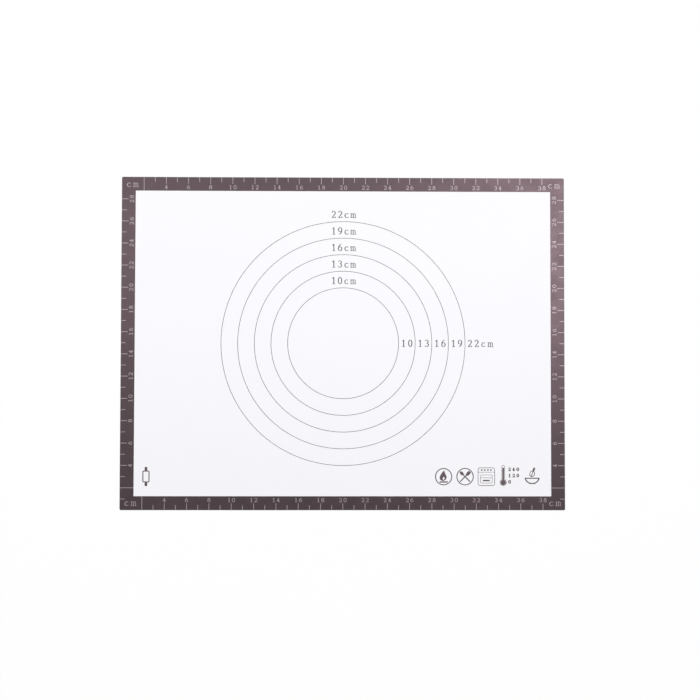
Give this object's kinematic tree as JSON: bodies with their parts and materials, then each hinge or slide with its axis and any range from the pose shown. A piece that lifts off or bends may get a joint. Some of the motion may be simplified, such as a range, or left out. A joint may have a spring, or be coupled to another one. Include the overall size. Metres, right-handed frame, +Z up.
{
  "type": "silicone baking mat",
  "caption": "Flat silicone-coated glass cloth mat with a dark border, centimetre rulers and concentric guide circles, for rolling and baking dough on.",
  "frame": {"origin": "centre of the mat's outline, on the plane that its underside rests on", "axes": "+X along the 400 mm length, +Y along the 300 mm width towards the edge at the heads of the printed numbers, +Z up out of the printed face"},
  "size_m": [0.4, 0.3, 0.0008],
  "materials": {
    "white_silicone": "satin",
    "glass_cloth": "matte",
    "brown_silicone": "satin",
    "light_ink": "satin",
    "brown_ink": "satin"
  },
  "bodies": {
    "root": {"border_print": "brown_silicone", "bowl_and_whisk_symbol": "brown_ink", "crossed_tools_symbol": "brown_ink", "edge_seal": "brown_silicone", "flame_symbol": "brown_ink", "glass_fibre_cloth": "glass_cloth", "guide_ring_10cm": "brown_ink", "guide_ring_13cm": "brown_ink", "guide_ring_16cm": "brown_ink", "guide_ring_19cm": "brown_ink", "guide_ring_22cm": "brown_ink", "oven_symbol": "brown_ink", "ring_label_side_10cm": "brown_ink", "ring_label_side_13cm": "brown_ink", "ring_label_side_16cm": "brown_ink", "ring_label_side_19cm": "brown_ink", "ring_label_side_22cm": "brown_ink", "ring_label_top_10cm": "brown_ink", "ring_label_top_13cm": "brown_ink", "ring_label_top_16cm": "brown_ink", "ring_label_top_19cm": "brown_ink", "ring_label_top_22cm": "brown_ink", "rolling_pin_symbol": "brown_ink", "ruler_numbers_bottom": "light_ink", "ruler_numbers_left": "light_ink", "ruler_numbers_right": "light_ink", "ruler_numbers_top": "light_ink", "ruler_ticks_bottom": "light_ink", "ruler_ticks_left": "light_ink", "ruler_ticks_right": "light_ink", "ruler_ticks_top": "light_ink", "silicone_base_coat": "white_silicone", "silicone_top_coat": "white_silicone", "thermometer_numbers": "brown_ink", "thermometer_symbol": "brown_ink", "unit_marks": "light_ink"}
  },
  "joints": []
}
